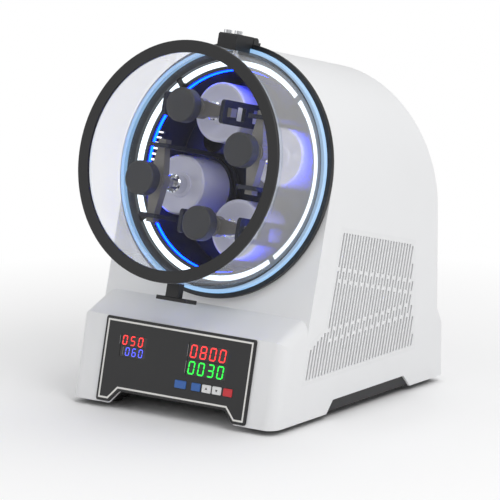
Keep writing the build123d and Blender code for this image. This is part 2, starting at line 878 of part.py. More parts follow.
def ball_bearing(planes, bore, outer, width):
    """Closed ball bearings, each with the sunk shield between its two rings."""
    with BuildPart() as bearing:
        for plane in planes:
            with BuildSketch(plane):
                Circle(outer)
                Circle(bore, mode=Mode.SUBTRACT)
            extrude(amount=width)
            with BuildSketch(plane.offset(width)):
                Circle(outer - (outer - bore) / 4)
                Circle(bore + (outer - bore) / 4, mode=Mode.SUBTRACT)
            extrude(amount=-0.6, mode=Mode.SUBTRACT)
    return bearing.part


save(
    ball_bearing(
        [station_plane(index, bearing_back) for index in range(4)],
        planet_shaft_radius,
        planet_bearing_radius,
        planet_bearing_width,
    ),
    "planet_bearings",
)

with BuildPart() as main_shaft:
    with BuildSketch(head_plane(pulley_back - 4)):
        Circle(shaft_radius - running_fit)
    extrude(amount=carrier_reach - pulley_back + 4)
    with BuildSketch(head_plane(carrier_reach)):
        RegularPolygon(shaft_radius + 6, 6)
    extrude(amount=shaft_nut_height)
    chamfer(main_shaft.faces().sort_by(head_axis)[-1].edges(), length=1)
save(main_shaft.part, "main_shaft")

flange_height = (pulley_width - belt_width) / 2
driven_rim = driven_pulley_radius + belt_thickness + pulley_rim
motor_rim = motor_pulley_radius + belt_thickness + pulley_rim
with BuildPart() as driven_pulley:
    with BuildSketch(head_plane(pulley_back)):
        Circle(driven_rim)
    extrude(amount=pulley_width)
    with BuildSketch(head_plane(pulley_back + flange_height)):
        Circle(driven_rim)
        Circle(driven_pulley_radius, mode=Mode.SUBTRACT)
    extrude(amount=belt_width, mode=Mode.SUBTRACT)
    with BuildSketch(head_plane(pulley_reach)):
        Circle(driven_pulley_radius - 4 * pulley_rim)
        Circle(shaft_radius + pulley_hub, mode=Mode.SUBTRACT)
    extrude(amount=-pulley_web_sink, mode=Mode.SUBTRACT)
    with BuildSketch(head_plane(pulley_back)):
        Circle(shaft_radius)
        with PolarLocations((driven_pulley_radius + shaft_radius) / 2 + 1, pulley_hole_count):
            Circle(pulley_hole_radius)
    extrude(amount=pulley_width, mode=Mode.SUBTRACT)
save(driven_pulley.part, "driven_pulley")


# Drive frame: one casting that carries the main bearings, the sun gear and the motor

motor_rise = -pulley_distance
rib_middle = frame_width / 2 - frame_rib_inset
rib_foot = side_point(frame_back, rise_at_height(frame_back, base_top))
rib_top = side_point(frame_back, rise_at_height(frame_back, base_top + frame_rib_height))
with BuildPart() as drive_frame:
    with BuildSketch(head_plane(frame_back)):
        Circle(boss_radius + boss_ring)
        Rectangle(frame_width, 2 * pulley_distance, align=(Align.CENTER, Align.MAX))
        with Locations((0, motor_rise)):
            Circle(motor_shaft_radius + 5, mode=Mode.SUBTRACT)
    extrude(amount=frame_thickness)
    for side_sign in (-1, 1):
        with BuildSketch(Plane.YZ.offset(side_sign * rib_middle)):
            with BuildLine():
                Polyline(rib_foot, rib_top, (rib_foot[0] + frame_rib_run, base_top), close=True)
            make_face()
        extrude(amount=frame_rib_thickness / 2, both=True)
    with BuildSketch(Plane.XY.offset(base_top)):
        with Locations((0, rib_foot[0] - frame_thickness / 2)):
            Rectangle(frame_width, frame_foot[0], align=(Align.CENTER, Align.MIN))
    extrude(amount=frame_foot[1])
    split(bisect_by=Plane.XY.offset(base_top), keep=Keep.TOP)
    with BuildSketch(head_plane(frame_reach)):
        Circle(boss_radius)
    extrude(amount=chamber_rear - frame_reach)
    with BuildSketch(head_plane(chamber_rear)):
        Circle(nose_radius)
    extrude(amount=gear_reach - chamber_rear)
    with BuildSketch(head_plane(frame_back)):
        Circle(shaft_radius + 1.5)
    extrude(amount=gear_reach - frame_back, mode=Mode.SUBTRACT)
    with BuildSketch(head_plane(frame_back)):
        Circle(shaft_bearing_radius)
    extrude(amount=chamber_rear - 2 - frame_back, mode=Mode.SUBTRACT)
front_bearing = chamber_rear - 2 - shaft_bearing_width
main_bearings = ball_bearing(
    [head_plane(front_bearing), head_plane(frame_back)],
    shaft_radius,
    shaft_bearing_radius,
    shaft_bearing_width,
)
save(Compound(children=[drive_frame.part, main_bearings]), "drive_frame")


# Motor, its pulley and the belt

with BuildPart() as motor:
    with BuildSketch(head_plane(frame_reach)):
        with Locations((0, motor_rise)):
            Circle(motor_radius)
    extrude(amount=motor_length)
    with BuildSketch(head_plane(frame_reach + motor_cap)):
        with Locations((0, motor_rise)):
            Circle(motor_radius)
            Circle(motor_radius - motor_skin, mode=Mode.SUBTRACT)
    extrude(amount=motor_length - 2 * motor_cap, mode=Mode.SUBTRACT)
    with BuildSketch(head_plane(frame_reach)):
        with Locations((0, motor_rise)):
            Circle(motor_shaft_radius)
    extrude(amount=motor_shaft_length + 2, mode=Mode.SUBTRACT)
save(motor.part, "motor")

with BuildPart() as motor_pulley:
    with BuildSketch(head_plane(pulley_back)):
        with Locations((0, motor_rise)):
            Circle(motor_shaft_radius - running_fit)
    extrude(amount=frame_reach + motor_shaft_length - pulley_back)
    with BuildSketch(head_plane(pulley_back)):
        with Locations((0, motor_rise)):
            Circle(motor_rim)
    extrude(amount=pulley_width)
    with BuildSketch(head_plane(pulley_back + flange_height)):
        with Locations((0, motor_rise)):
            Circle(motor_rim)
            Circle(motor_pulley_radius, mode=Mode.SUBTRACT)
    extrude(amount=belt_width, mode=Mode.SUBTRACT)
save(motor_pulley.part, "motor_pulley")


def belt_face(clearance):
    """Face inside a loop that runs round both pulleys at this clearance."""
    with BuildSketch() as loop:
        Circle(driven_pulley_radius + clearance)
        with Locations((0, motor_rise)):
            Circle(motor_pulley_radius + clearance)
        make_hull()
    return loop.sketch


with BuildPart() as drive_belt:
    with BuildSketch(head_plane(pulley_back + flange_height + fit_gap / 2)):
        add(belt_face(fit_gap + belt_thickness - belt_sink))
        add(belt_face(fit_gap), mode=Mode.SUBTRACT)
    extrude(amount=belt_width - fit_gap)
save(drive_belt.part, "drive_belt")


# Jar stations: each piece is drawn once on its own axis, with Z as the reach, then set at four places


def save_stations(piece, name):
    """Write four copies of one station piece, each on its own jar axis."""
    for index in range(4):
        save(piece.moved(station_plane(index, 0).location), f"{name}_{index + 1}")


window_width = stirrup_width - 2 * stirrup_frame
with BuildPart() as jar_stirrup:
    with BuildSketch(Plane.XY.offset(seat_back)):
        Circle(seat_radius)
    extrude(amount=seat_thickness)
    with BuildSketch(Plane.XY.offset(seat_reach)):
        Circle(stirrup_inner)
        Circle(jar_radius + fit_gap, mode=Mode.SUBTRACT)
    extrude(amount=seat_lip)
    with BuildSketch(Plane.YZ.offset(stirrup_inner)):
        with Locations((0, (seat_back + stirrup_reach) / 2)):
            RectangleRounded(stirrup_width, stirrup_reach - seat_back, radius=stirrup_corner)
        with Locations((0, beam_back - fit_gap)):
            Rectangle(
                beam_end_width + 2 * fit_gap,
                beam_thickness + fit_gap,
                align=(Align.CENTER, Align.MIN),
                mode=Mode.SUBTRACT,
            )
        for low, high in (upper_window, lower_window):
            with Locations((0, (low + high) / 2)):
                RectangleRounded(window_width, high - low, radius=1.5, mode=Mode.SUBTRACT)
    extrude(amount=stirrup_thickness)
    mirror(about=Plane.YZ)
save_stations(jar_stirrup.part, "jar_stirrup")

beam_half = stirrup_outer + beam_overhang
with BuildPart() as clamp_beam:
    with BuildSketch(Plane.XY.offset(beam_back)):
        with BuildLine():
            Polyline(
                (-beam_half, -beam_end_width / 2),
                (-stirrup_inner + 1, -beam_end_width / 2),
                (-beam_boss_radius, -beam_middle_width / 2),
                (beam_boss_radius, -beam_middle_width / 2),
                (stirrup_inner - 1, -beam_end_width / 2),
                (beam_half, -beam_end_width / 2),
                (beam_half, beam_end_width / 2),
                (stirrup_inner - 1, beam_end_width / 2),
                (beam_boss_radius, beam_middle_width / 2),
                (-beam_boss_radius, beam_middle_width / 2),
                (-stirrup_inner + 1, beam_end_width / 2),
                (-beam_half, beam_end_width / 2),
                close=True,
            )
        make_face()
        Circle(beam_boss_radius)
    extrude(amount=beam_thickness)
    with BuildSketch(Plane.XY.offset(beam_reach)):
        Circle(beam_boss_radius - 1.5)
    extrude(amount=beam_boss_height)
    with BuildSketch(Plane.XY.offset(beam_back)):
        Circle(screw_radius + fit_gap)
    extrude(amount=2 * beam_thickness, mode=Mode.SUBTRACT)
save_stations(clamp_beam.part, "clamp_beam")

jar_floor = seat_reach + jar_wall
with BuildPart() as grinding_jar:
    with BuildSketch(Plane.XZ):
        with BuildLine():
            Polyline(
                (0, seat_reach),
                (jar_radius - jar_foot_chamfer, seat_reach),
                (jar_radius, seat_reach + jar_foot_chamfer),
                (jar_radius, jar_mouth_reach),
                (jar_bore, jar_mouth_reach),
                (jar_bore, jar_floor + jar_bore_chamfer),
                (jar_bore - jar_bore_chamfer, jar_floor),
                (0, jar_floor),
                close=True,
            )
        make_face()
    revolve(axis=Axis.Z)
save_stations(grinding_jar.part, "grinding_jar")

lid_floor = lid_reach - lid_floor_drop
with BuildPart() as jar_lid:
    with BuildSketch(Plane.XZ):
        with BuildLine():
            Polyline(
                (0, jar_mouth_reach - lid_plug),
                (jar_bore - fit_gap, jar_mouth_reach - lid_plug),
                (jar_bore - fit_gap, jar_mouth_reach),
                (jar_radius, jar_mouth_reach),
                (jar_radius, lid_reach - 1.5),
                (jar_radius - 1.5, lid_reach),
                (jar_radius - lid_rim, lid_reach),
                (pad_radius + lid_rim, lid_reach - lid_dish),
                (pad_radius + lid_dish, lid_floor),
                (0, lid_floor),
                close=True,
            )
        make_face()
    revolve(axis=Axis.Z)
save_stations(jar_lid.part, "jar_lid")

pad_foot = lid_floor + 0.05
pad_top = pad_foot + pad_height
with BuildPart() as clamp_pad:
    with BuildSketch(Plane.XY.offset(pad_foot)):
        Circle(pad_radius)
    extrude(amount=pad_height)
    chamfer(clamp_pad.faces().sort_by(Axis.Z)[-1].edges(), length=1.5)
    chamfer(clamp_pad.faces().sort_by(Axis.Z)[0].edges(), length=0.6)
    with BuildSketch(Plane.XY.offset(pad_top - screw_socket)):
        Circle(screw_radius + fit_gap)
    extrude(amount=screw_socket, mode=Mode.SUBTRACT)
save_stations(clamp_pad.part, "clamp_pad")

screw_tip = pad_top - screw_socket + fit_gap
with BuildPart() as clamp_screw:
    with BuildSketch(Plane.XY.offset(screw_tip)):
        Circle(screw_radius)
    extrude(amount=knob_back - screw_tip)
    with BuildSketch(Plane.XY.offset(knob_back - collar_height)):
        Circle(screw_radius + collar_width)
    extrude(amount=collar_height)
    with BuildSketch(Plane.XY.offset(knob_back)):
        Circle(knob_radius)
    extrude(amount=knob_thickness)
    chamfer(clamp_screw.faces().sort_by(Axis.Z)[-1].edges(), length=1.2)
    widest_rims = clamp_screw.edges().filter_by(GeomType.CIRCLE).sort_by(SortBy.RADIUS)[-2:]
    chamfer(widest_rims.sort_by(Axis.Z)[0], length=2.5)
save_stations(clamp_screw.part, "clamp_screw")


# Hood: a clear flanged tube with a clear disc bonded to its front, a black front ring, handle and hinge

bolt_plane = Plane(
    origin=head_plane(hinge_bolt_reach).origin,
    x_dir=(1, 0, 0),
    z_dir=head_plane(0).y_dir,
)

with BuildPart() as hood_shell:
    with BuildSketch(half_section):
        with BuildLine():
            Polyline(
                (hood_inner, hood_seat_reach),
                (hood_flange_radius, hood_seat_reach),
                (hood_flange_radius, flange_front),
                (hood_radius, flange_front),
                (hood_radius, window_back),
                (hood_inner, window_back),
                close=True,
            )
        make_face()
    revolve(axis=head_axis)
    with BuildSketch(bolt_plane):
        with GridLocations(hinge_bolt_spacing, 1, 2, 1):
            Circle(hinge_bolt_radius)
    extrude(amount=2 * hood_radius, mode=Mode.SUBTRACT)
with BuildPart() as hood_window:
    with BuildSketch(head_plane(window_back)):
        Circle(hood_radius)
    extrude(amount=hood_wall)
save(Compound(children=[hood_shell.part, hood_window.part]), "hood_shell")

with BuildPart() as hood_ring:
    with BuildSketch(half_section):
        with BuildLine():
            Polyline(
                (ring_radius - ring_width, hood_front),
                (hood_radius, hood_front),
                (hood_radius, window_back),
                (ring_radius, window_back),
                (ring_radius, ring_reach - ring_edge),
                (ring_radius - ring_edge, ring_reach),
                (ring_radius - ring_width, ring_reach),
                close=True,
            )
        make_face()
    revolve(axis=head_axis)
save(hood_ring.part, "hood_ring")

handle_foot = -hood_radius - handle_post[2]
with BuildPart() as hood_handle:
    with BuildSketch(long_section):
        with Locations((handle_reach, handle_foot)):
            Rectangle(handle_post[1], handle_post[2] + hood_wall, align=(Align.CENTER, Align.MIN))
    extrude(amount=handle_post[0] / 2, both=True)
    with BuildSketch(head_plane(0)):
        Circle(hood_radius)
    extrude(amount=ring_reach, mode=Mode.SUBTRACT)
    with BuildSketch(long_section):
        with Locations((handle_reach - handle_bar_shift, handle_foot)):
            RectangleRounded(handle_bar[1], handle_bar[2], radius=1, align=(Align.CENTER, Align.MAX))
    extrude(amount=handle_bar[0] / 2, both=True)
save(hood_handle.part, "hood_handle")

arm_top = hinge_rise + hinge_knuckle_radius
arm_back = hinge_knuckle_radius + hinge_arm_gap
arm_foot = hood_flange_radius + hinge_arm_clearance
arm_step = flange_front + hinge_nut_gap
with BuildPart() as hinge_arm:
    with BuildSketch(long_section):
        with BuildLine():
            Polyline(
                (arm_back, arm_foot),
                (arm_step, arm_foot),
                (arm_step, hood_inner),
                (hinge_arm_reach, hood_inner),
                (hinge_arm_reach, arm_top - hinge_arm_bevel),
                (hinge_arm_reach - hinge_arm_bevel, arm_top),
                (arm_back, arm_top),
                close=True,
            )
        make_face()
    extrude(amount=hinge_width / 2, both=True)
    with BuildSketch(head_plane(0)):
        Circle(hood_radius)
    extrude(amount=ring_reach, mode=Mode.SUBTRACT)
    with BuildSketch(long_section):
        with Locations((0, hinge_rise)):
            Circle(hinge_knuckle_radius)
        with Locations((0, arm_top)):
            Rectangle(arm_back + 1, hinge_tongue_thickness, align=(Align.MIN, Align.MAX))
    extrude(amount=hinge_tongue_width / 2, both=True)
    with BuildSketch(long_section):
        with Locations((0, hinge_rise)):
            Circle(hinge_pin_radius + running_fit)
    extrude(amount=hinge_width, both=True, mode=Mode.SUBTRACT)
    with BuildSketch(bolt_plane):
        with GridLocations(hinge_bolt_spacing, 1, 2, 1):
            Circle(hinge_bolt_radius)
    extrude(amount=2 * hood_radius, mode=Mode.SUBTRACT)
save(hinge_arm.part, "hinge_arm")

nut_foot = hood_inner - hinge_nut[1] - hinge_nut_gap
with BuildPart() as hinge_bolts:
    with BuildSketch(bolt_plane.offset(nut_foot)):
        with GridLocations(hinge_bolt_spacing, 1, 2, 1):
            Circle(hinge_bolt_radius)
    extrude(amount=arm_top - nut_foot)
    with BuildSketch(bolt_plane.offset(arm_top)):
        with GridLocations(hinge_bolt_spacing, 1, 2, 1):
            Circle(hinge_bolt_head[0])
    extrude(amount=hinge_bolt_head[1])
    with BuildSketch(bolt_plane.offset(arm_top + hinge_bolt_head[1])):
        with GridLocations(hinge_bolt_spacing, 1, 2, 1):
            RegularPolygon(hinge_bolt_socket[0], 6)
    extrude(amount=-hinge_bolt_socket[1], mode=Mode.SUBTRACT)
    with BuildSketch(bolt_plane.offset(nut_foot)):
        with GridLocations(hinge_bolt_spacing, 1, 2, 1):
            RegularPolygon(hinge_nut[0], 6)
    extrude(amount=hinge_nut[1])
save(hinge_bolts.part, "hinge_bolts")

ear_width = (hinge_width - hinge_tongue_width) / 2 - 0.2
with BuildPart() as hinge_base:
    with BuildSketch(long_section):
        with Locations((0, hinge_rise)):
            Circle(hinge_knuckle_radius)
        with Locations((hinge_knuckle_radius, hinge_pocket_rise)):
            Rectangle(
                3 * hinge_knuckle_radius - 1,
                hinge_rise - hinge_pocket_rise,
                align=(Align.MAX, Align.MIN),
            )
    extrude(amount=hinge_width / 2, both=True)
    with BuildSketch(long_section):
        with Locations((-hinge_knuckle_radius - 0.5, hinge_pocket_rise)):
            Rectangle(4 * hinge_knuckle_radius, 4 * hinge_knuckle_radius, align=(Align.MIN, Align.MIN))
    extrude(amount=hinge_width / 2 - ear_width, both=True, mode=Mode.SUBTRACT)
    with BuildSketch(head_plane(face_reach)):
        Circle(half_width)
    extrude(amount=-4 * hinge_knuckle_radius, mode=Mode.SUBTRACT)
    with BuildSketch(long_section):
        with Locations((0, hinge_rise)):
            Circle(hinge_pin_radius)
    extrude(amount=hinge_width / 2, both=True)
save(hinge_base.part, "hinge_base")
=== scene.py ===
"""Looks of a bench planetary ball mill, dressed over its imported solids.

Lengths are metres in the solids' own frame: +Z up, the front faces -Y.
"""

import json
import logging
import math
from dataclasses import dataclass, field
from enum import Enum
from typing import Any, Callable, ClassVar, Sequence, Union

import bpy
import numpy as np
from mathutils import Matrix, Vector


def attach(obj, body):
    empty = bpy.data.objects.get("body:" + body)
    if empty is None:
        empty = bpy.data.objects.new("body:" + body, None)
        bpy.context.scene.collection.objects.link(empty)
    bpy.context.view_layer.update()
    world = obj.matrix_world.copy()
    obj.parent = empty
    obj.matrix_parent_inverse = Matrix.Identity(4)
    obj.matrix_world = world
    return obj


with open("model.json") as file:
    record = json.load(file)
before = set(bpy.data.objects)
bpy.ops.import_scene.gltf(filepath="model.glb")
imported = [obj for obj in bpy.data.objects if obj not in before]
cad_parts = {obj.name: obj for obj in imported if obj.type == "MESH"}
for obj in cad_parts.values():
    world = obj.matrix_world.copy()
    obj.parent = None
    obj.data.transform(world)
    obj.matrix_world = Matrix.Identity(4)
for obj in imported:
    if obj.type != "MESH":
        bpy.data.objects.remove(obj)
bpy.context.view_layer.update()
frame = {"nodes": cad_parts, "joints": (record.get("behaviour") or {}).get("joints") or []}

LOG = logging.getLogger("ball_mill")

# Colour sockets of a Mix node
MIX_FIRST, MIX_SECOND, MIX_RESULT = 6, 7, 2

# Grain of the finishes
BROAD_SCALE, BROAD_DETAIL, FINE_DETAIL = 14.0, 4.0, 2.0
ROUGH_SPREAD, COAT_ROUGHNESS = 0.10, 0.08
RING_WAVES, RING_HEIGHT, RING_ROUGHNESS = 2600.0, 0.7, 0.08
BLAST_ROUGHNESS = 0.12
MASK_SOFTNESS = 0.0002

# Thin layers on the control panel
PRINT_GAP, PRINT_TOP, BORDER_TOP = 0.00002, 0.00012, 0.00015
DIGIT_THICKNESS = 0.0002

Colour = tuple[float, float, float]
Points = np.ndarray


class Surface(Enum):
    """How the surface of a finish is worked."""

    MOULDED = "moulded"
    TURNED = "turned"
    BLASTED = "blasted"


class Wire:
    """One output of a shader node, usable in sums and products."""

    def __init__(self, tree: bpy.types.NodeTree, socket: bpy.types.NodeSocket) -> None:
        """Keep the socket and its tree.

        Args:
            tree: The node tree that new Math nodes join.
            socket: The output that this wire carries.
        """
        self.tree = tree
        self.socket = socket

    def math(self, operation: str, *others: Union["Wire", float], first: bool = True) -> "Wire":
        """Add one Math node.

        Args:
            operation: The Math node's operation.
            others: The remaining inputs, as wires or numbers.
            first: True where this wire is the first input, else the second.

        Returns:
            The node's result.
        """
        values = [self, *others] if first else [*others, self]
        node = add_node(self.tree, "ShaderNodeMath", {"operation": operation}, dict(enumerate(values)))
        return Wire(self.tree, node.outputs[0])

    def __add__(self, other: Union["Wire", float]) -> "Wire":
        """Sum."""
        return self.math("ADD", other)

    def __radd__(self, other: float) -> "Wire":
        """Reflected sum."""
        return self.math("ADD", other)

    def __sub__(self, other: Union["Wire", float]) -> "Wire":
        """Difference."""
        return self.math("SUBTRACT", other)

    def __rsub__(self, other: float) -> "Wire":
        """Reflected difference."""
        return self.math("SUBTRACT", other, first=False)

    def __mul__(self, other: Union["Wire", float]) -> "Wire":
        """Product."""
        return self.math("MULTIPLY", other)

    def __rmul__(self, other: float) -> "Wire":
        """Reflected product."""
        return self.math("MULTIPLY", other)

    def step(self, low: float, high: float) -> "Wire":
        """Rise from 0 at low to 1 at high, clamped.

        Args:
            low: The value that gives 0.
            high: The value that gives 1.

        Returns:
            The clamped ramp.
        """
        sockets = {"Value": self, "From Min": low, "From Max": high}
        node = add_node(self.tree, "ShaderNodeMapRange", {"clamp": True}, sockets)
        return Wire(self.tree, node.outputs[0])


def add_node(tree: bpy.types.NodeTree, kind: str, settings: dict[str, Any],
             sockets: dict[Union[int, str], Any]) -> bpy.types.Node:
    """Add one node of any kind.

    Args:
        tree: The node tree that it joins.
        kind: The node's type name.
        settings: Attributes that are set before the sockets.
        sockets: Values, wires or shader nodes, by socket name or number.

    Returns:
        The new node.
    """
    node = tree.nodes.new(kind)
    for key, value in settings.items():
        setattr(node, key, value)
    for key, value in sockets.items():
        if isinstance(value, Wire):
            tree.links.new(value.socket, node.inputs[key])
        elif isinstance(value, bpy.types.Node):
            tree.links.new(value.outputs[0], node.inputs[key])
        else:
            node.inputs[key].default_value = value
    return node


class Paint:
    """One material with its node tree."""

    def __init__(self, name: str) -> None:
        """Start an empty tree.

        Args:
            name: The material's name.
        """
        self.material = bpy.data.materials.new(name)
        self.material.use_nodes = True
        self.tree = self.material.node_tree
        self.tree.nodes.clear()

    def node(self, kind: str, **inputs: Any) -> bpy.types.Node:
        """Add one node that has no settings.

        Args:
            kind: The node's type name.
            inputs: Socket values or wires, by socket name with spaces as underscores.

        Returns:
            The new node.
        """
        sockets = {key.replace("_", " "): value for key, value in inputs.items()}
        return add_node(self.tree, kind, {}, sockets)

    def vector(self, operation: str, *values: Any) -> bpy.types.Node:
        """Add one Vector Math node.

        Args:
            operation: The node's operation.
            values: Its inputs in order, as vectors, wires or nodes.

        Returns:
            The new node.
        """
        settings = {"operation": operation}
        return add_node(self.tree, "ShaderNodeVectorMath", settings, dict(enumerate(values)))

    def wire(self, node: bpy.types.Node, output: Union[int, str] = 0) -> Wire:
        """One output of a node as a wire."""
        return Wire(self.tree, node.outputs[output])

    def place(self) -> Wire:
        """Object coordinates, which are the solids' own frame."""
        return self.wire(self.node("ShaderNodeTexCoord"), "Object")

    def along(self, direction: Sequence[float], origin: Sequence[float]) -> Wire:
        """Distance of a point along a direction.

        Args:
            direction: A unit vector.
            origin: The point where the distance is 0.

        Returns:
            The dot product of the direction with the offset from the origin.
        """
        offset = self.vector("SUBTRACT", self.place(), origin)
        return self.wire(self.vector("DOT_PRODUCT", offset, direction), "Value")

    def from_axis(self, direction: Sequence[float], origin: Sequence[float]) -> Wire:
        """Distance of a point from a line.

        Args:
            direction: The line's unit vector.
            origin: A point on the line.

        Returns:
            The length of the cross product of the direction with the offset.
        """
        offset = self.vector("SUBTRACT", self.place(), origin)
        across = self.vector("CROSS_PRODUCT", offset, direction)
        return self.wire(self.vector("LENGTH", across), "Value")

    def noise(self, scale: float, detail: float) -> Wire:
        """Even noise over the whole object, from 0 to 1."""
        return self.wire(self.node("ShaderNodeTexNoise", Vector=self.place(), Scale=scale, Detail=detail))

    def blend(self, share: Wire, low: Colour, high: Colour) -> Wire:
        """Go from one colour to another.

        Args:
            share: 0 for the low colour, 1 for the high one.
            low: The first colour.
            high: The second colour.

        Returns:
            The mixed colour.
        """
        sockets = {0: share, MIX_FIRST: (*low, 1.0), MIX_SECOND: (*high, 1.0)}
        mix = add_node(self.tree, "ShaderNodeMix", {"data_type": "RGBA"}, sockets)
        return self.wire(mix, MIX_RESULT)

    def bump(self, height: Wire, depth: float) -> Wire:
        """Surface relief of this depth from a height between 0 and 1."""
        return self.wire(self.node("ShaderNodeBump", Height=height, Distance=depth, Strength=1.0))

    def mix(self, share: Wire, first: bpy.types.Node, second: bpy.types.Node) -> bpy.types.Node:
        """Go from one shader to another with the share."""
        return add_node(self.tree, "ShaderNodeMixShader", {}, {0: share, 1: first, 2: second})

    def close(self, shader: bpy.types.Node) -> bpy.types.Material:
        """Send a shader to the output and hand over the material."""
        add_node(self.tree, "ShaderNodeOutputMaterial", {}, {"Surface": shader})
        return self.material


def shade(colour: Colour, factor: float) -> Colour:
    """The colour times a factor, at most 1."""
    return tuple(min(1.0, channel * factor) for channel in colour)


@dataclass(frozen=True)
class Finish:
    """A solid surface: its colour, gloss and grain."""

    name: str
    colour: Colour
    roughness: float = 0.45
    metallic: float = 0.0
    coat: float = 0.0
    surface: Surface = Surface.MOULDED
    grain: float = 900.0
    depth: float = 0.00004
    uneven: float = 0.04

    def shader(self, paint: Paint) -> bpy.types.Node:
        """Add this finish's nodes.

        Args:
            paint: The material that they join.

        Returns:
            A shader whose colour, gloss and relief vary a little over the surface.
        """
        broad = paint.noise(BROAD_SCALE, BROAD_DETAIL)
        fine = paint.noise(self.grain, FINE_DETAIL)
        darkest, palest = shade(self.colour, 1 - self.uneven), shade(self.colour, 1 + self.uneven)
        base = paint.blend(broad, darkest, palest)
        rough = (broad - 0.5) * ROUGH_SPREAD + self.roughness
        height = fine
        if self.surface is Surface.TURNED:
            waves = paint.from_axis(HEAD.forward, HEAD.origin) * RING_WAVES
            rings = waves.math("SINE") * 0.5 + 0.5
            height = rings * RING_HEIGHT + fine * (1 - RING_HEIGHT)
            rough = rough + rings * RING_ROUGHNESS
        elif self.surface is Surface.BLASTED:
            height = fine * fine
            rough = rough + fine * BLAST_ROUGHNESS
        return paint.node(
            "ShaderNodeBsdfPrincipled",
            Base_Color=base,
            Roughness=rough,
            Metallic=self.metallic,
            Coat_Weight=self.coat,
            Coat_Roughness=COAT_ROUGHNESS,
            Normal=paint.bump(height, self.depth),
        )

    def material(self) -> bpy.types.Material:
        """Build the material.

        Returns:
            A material of this finish alone.
        """
        paint = Paint(self.name)
        return paint.close(self.shader(paint))


@dataclass(frozen=True)
class Lamp:
    """A light-giving surface, a little uneven in brightness."""

    name: str
    colour: Colour
    strength: float
    body: Colour = (0.8, 0.85, 0.9)
    spot_scale: float = 60.0
    dimmest: float = 0.8
    body_spread: float = 0.05
    roughness: float = 0.3

    def material(self) -> bpy.types.Material:
        """Build the material.

        Returns:
            A material that gives light over a pale body.
        """
        paint = Paint(self.name)
        spots = paint.noise(self.spot_scale, 1.0)
        light = paint.blend(spots, shade(self.colour, self.dimmest), self.colour)
        shader = paint.node(
            "ShaderNodeBsdfPrincipled",
            Base_Color=paint.blend(spots, shade(self.body, 1 - self.body_spread), self.body),
            Roughness=self.roughness,
            Emission_Color=light,
            Emission_Strength=self.strength,
        )
        return paint.close(shader)


@dataclass(frozen=True)
class Acrylic:
    """Clear sheet plastic: see-through, with a gloss that grows at a low angle."""

    name: str
    tint: Colour
    veil: float
    edge_radius: float = 1.0
    edge_reach: float = 0.0095
    # Painted light: cyan glow at the sheet's outer edge, standing for ring light carried along the clear
    # wall
    painted_edge_glow: Colour = (0.10, 0.50, 1.0)
    edge_softness: float = 0.0003
    edge_strength: float = 0.8
    edge_share: float = 0.35
    index: float = 1.35
    gloss_share: float = 0.30
    haze_scale: float = 30.0
    haze_spread: float = 0.04
    smoothness: float = 0.02

    def shader(self, paint: Paint) -> bpy.types.Node:
        """Add this sheet's nodes.

        Args:
            paint: The material that they join.

        Returns:
            A mix of a see-through and a glossy shader by Fresnel, with a painted glow at its outer edge.
        """
        # Painted glow: a thin band at the outer edge, behind the edge reach, gives cyan light and more gloss
        radius = paint.from_axis(HEAD.forward, HEAD.origin)
        reach = paint.along(HEAD.forward, HEAD.origin)
        outer = radius.step(self.edge_radius - self.edge_softness, self.edge_radius)
        ahead = reach.step(self.edge_reach, self.edge_reach + self.edge_softness)
        edge = outer * (1 - ahead)
        clear = paint.node("ShaderNodeBsdfTransparent", Color=(*self.tint, 1.0))
        haze = paint.noise(self.haze_scale, FINE_DETAIL)
        gloss = paint.node(
            "ShaderNodeBsdfPrincipled",
            Base_Color=(*self.tint, 1.0),
            Roughness=haze * self.haze_spread + self.smoothness,
            Metallic=0.0,
            Emission_Color=paint.blend(edge, (0.0, 0.0, 0.0), self.painted_edge_glow),
            Emission_Strength=self.edge_strength,
        )
        fresnel = paint.wire(paint.node("ShaderNodeFresnel", IOR=self.index))
        share = fresnel * self.gloss_share + self.veil + edge * self.edge_share
        return paint.mix(share, clear, gloss)

    def material(self) -> bpy.types.Material:
        """Build the material.

        Returns:
            A material of this sheet alone.
        """
        paint = Paint(self.name)
        return paint.close(self.shader(paint))


@dataclass(frozen=True)
class Split:
    """Two finishes on one solid, parted by a mask."""

    name: str
    first: Union[Finish, Acrylic]
    second: Union[Finish, Acrylic]
    mask: Callable[[Paint], Wire]

    def material(self) -> bpy.types.Material:
        """Build the material.

        Returns:
            A material that shows the second finish where the mask is 1.
        """
        paint = Paint(self.name)
        first, second = self.first.shader(paint), self.second.shader(paint)
        return paint.close(paint.mix(self.mask(paint), first, second))


def ahead_of(reach: float) -> Callable[[Paint], Wire]:
    """A mask that is 1 ahead of a place on the head axis.

    Args:
        reach: The place, forward along the axis.

    Returns:
        A function that adds the mask to a material.
    """
    low, high = reach - MASK_SOFTNESS / 2, reach + MASK_SOFTNESS / 2
    return lambda paint: paint.along(HEAD.forward, HEAD.origin).step(low, high)


def within(low: Sequence[float], high: Sequence[float]) -> Callable[[Paint], Wire]:
    """A mask that is 1 inside an upright box.

    Args:
        low: The box's least X, Y and Z.
        high: The box's greatest X, Y and Z.

    Returns:
        A function that adds the mask to a material.
    """
    def mask(paint: Paint) -> Wire:
        """Multiply the two steps of each direction.

        Args:
            paint: The material that gets the mask.

        Returns:
            1 inside the box and 0 outside.
        """
        share: Union[Wire, float] = 1.0
        for axis, start, end in zip(np.eye(3).tolist(), low, high):
            place = paint.along(axis, (0.0, 0.0, 0.0))
            past_end = place.step(end - MASK_SOFTNESS, end)
            share = place.step(start, start + MASK_SOFTNESS) * (1 - past_end) * share
        return share

    return mask


